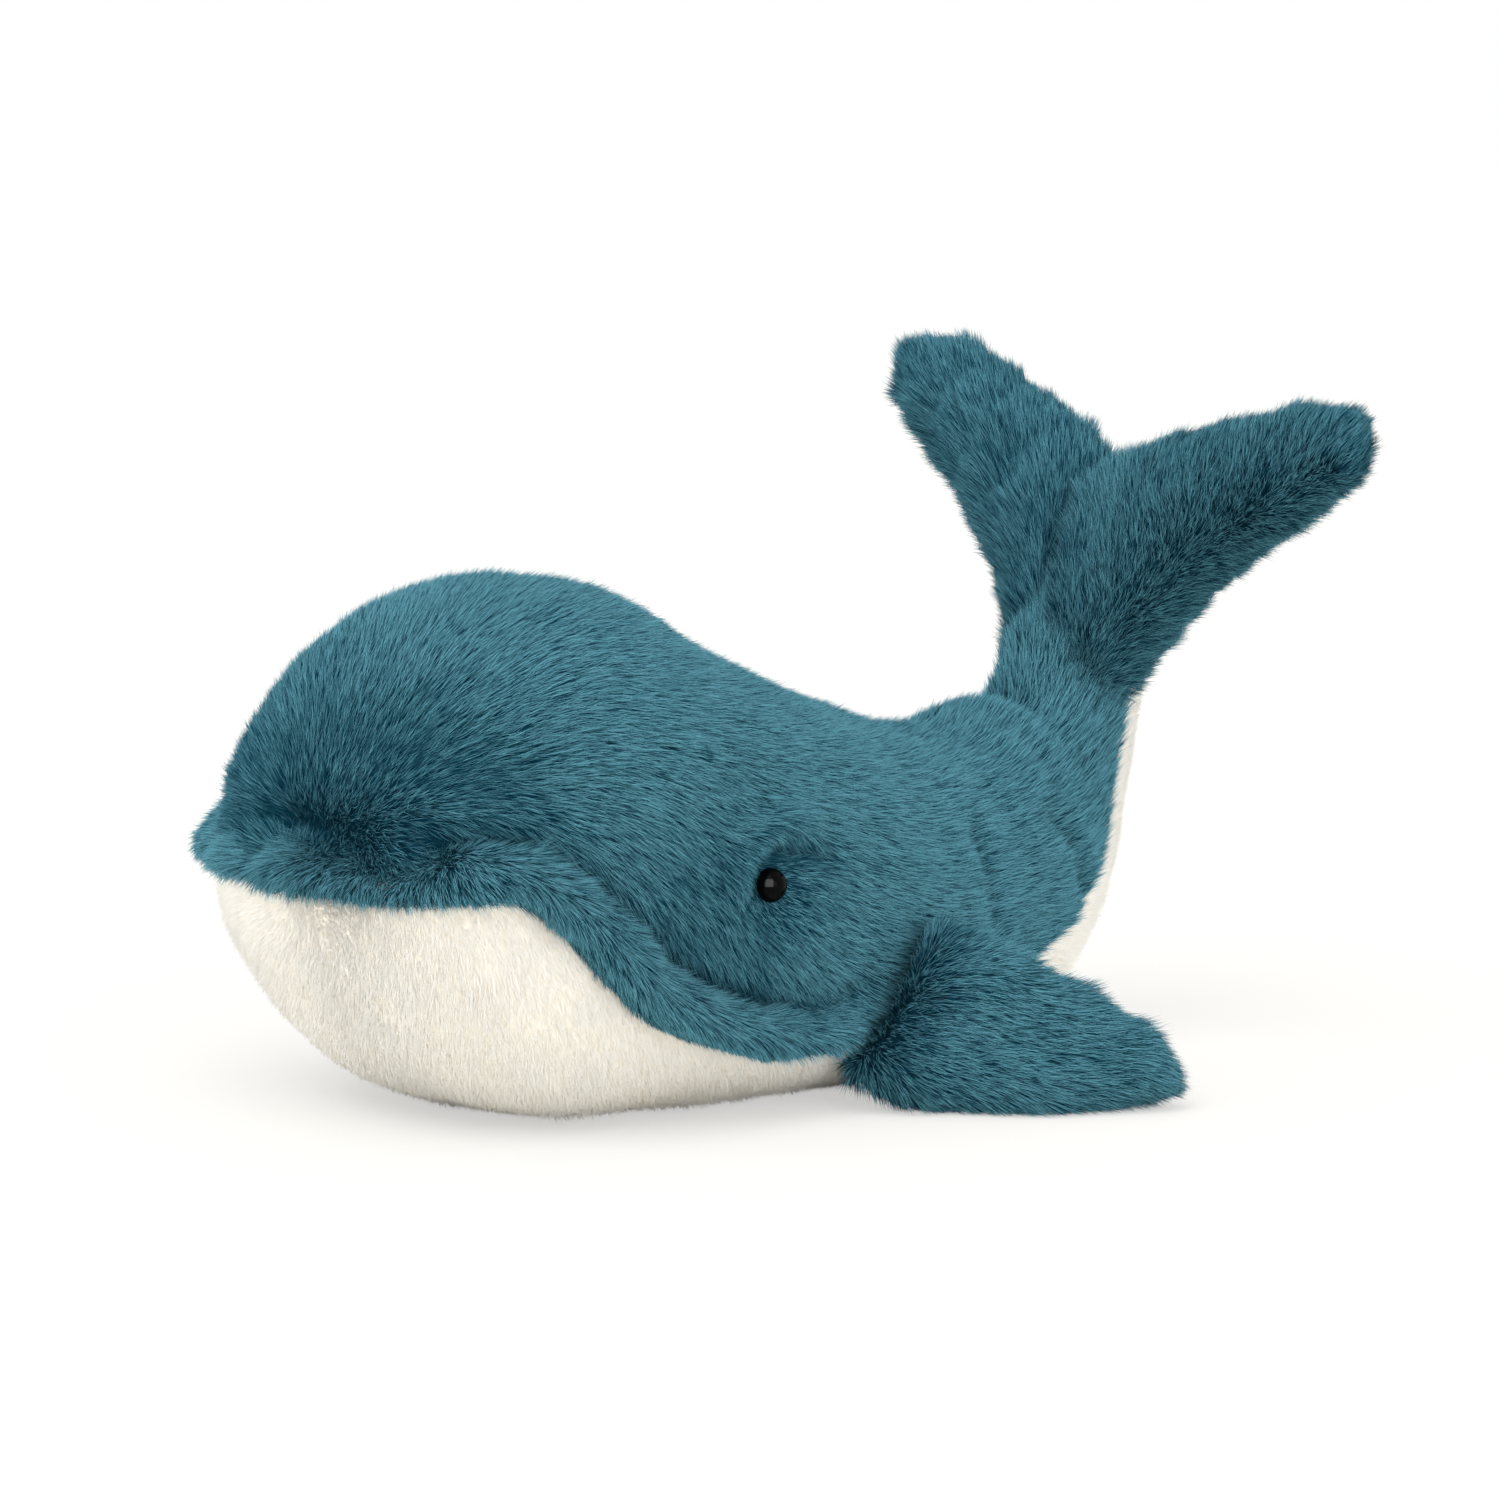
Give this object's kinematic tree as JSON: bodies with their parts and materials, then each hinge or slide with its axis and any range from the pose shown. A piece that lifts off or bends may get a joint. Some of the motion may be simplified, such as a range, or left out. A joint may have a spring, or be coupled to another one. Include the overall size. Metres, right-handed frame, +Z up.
{
  "type": "plush whale",
  "caption": "Stuffed plush whale with a blue back, cream belly, thick lip roll, flippers and a raised tail whose stem, fluke lobes and flippers bend.",
  "frame": {"origin": "on the floor under the middle of the whole whale's bounding box", "axes": "+Z up out of the back, the nose points to -Y and the raised tail is at +Y, the whale's left side is +X"},
  "size_m": [0.2322, 0.2894, 0.1894],
  "materials": {
    "blue_plush": "short dense teal blue pile",
    "cream_plush": "short soft cream pile",
    "polyester_fibre": "loose white fibre filling",
    "cotton_pouch": "plain woven pouch of pellets",
    "gloss_black_eye": "glossy black dome",
    "plain_washer": "moulded plastic"
  },
  "bodies": {
    "root": {"left_back_panel": "blue_plush", "right_back_panel": "blue_plush", "belly_panel": "cream_plush", "lip_roll": "blue_plush", "body_stuffing": "polyester_fibre", "pellet_pouch": "cotton_pouch", "left_eye": "gloss_black_eye", "right_eye": "gloss_black_eye", "left_eye_washer": "plain_washer", "right_eye_washer": "plain_washer"},
    "tail": {"left_tail_panel": "blue_plush", "right_tail_panel": "blue_plush", "tail_underside": "cream_plush", "fluke_back_panel": "blue_plush", "tail_stuffing": "polyester_fibre"},
    "left_fluke": {"left_fluke_front": "blue_plush", "left_fluke_back": "blue_plush", "left_fluke_stuffing": "polyester_fibre"},
    "right_fluke": {"right_fluke_front": "blue_plush", "right_fluke_back": "blue_plush", "right_fluke_stuffing": "polyester_fibre"},
    "left_flipper": {"left_flipper_top": "blue_plush", "left_flipper_bottom": "blue_plush", "left_flipper_stuffing": "polyester_fibre"},
    "right_flipper": {"right_flipper_top": "blue_plush", "right_flipper_bottom": "blue_plush", "right_flipper_stuffing": "polyester_fibre"}
  },
  "joints": [
    {"name": "tail_bend", "type": "hinge", "parent": "root", "child": "tail", "pos_m": [0, 0.10615, 0.0795], "axis": [1, 0, 0], "range_deg": [-25, 12], "stiffness_Nm_per_rad": 0.8},
    {"name": "left_fluke_bend", "type": "hinge", "parent": "tail", "child": "left_fluke", "pos_m": [0.03659, 0.12934, 0.14707], "axis": [0.476, -0.135, -0.869], "range_deg": [-25, 25], "stiffness_Nm_per_rad": 0.4},
    {"name": "right_fluke_bend", "type": "hinge", "parent": "tail", "child": "right_fluke", "pos_m": [-0.03111, 0.12548, 0.15204], "axis": [0.5793, 0.1951, 0.7914], "range_deg": [-25, 25], "stiffness_Nm_per_rad": 0.4},
    {"name": "left_flipper_lift", "type": "hinge", "parent": "root", "child": "left_flipper", "pos_m": [0.0695, 0.01301, 0.02678], "axis": [0.1323, -0.5379, -0.8326], "range_deg": [0, 45]},
    {"name": "right_flipper_lift", "type": "hinge", "parent": "root", "child": "right_flipper", "pos_m": [-0.0695, 0.01301, 0.02678], "axis": [0.1323, 0.5379, 0.8326], "range_deg": [0, 45]}
  ]
}
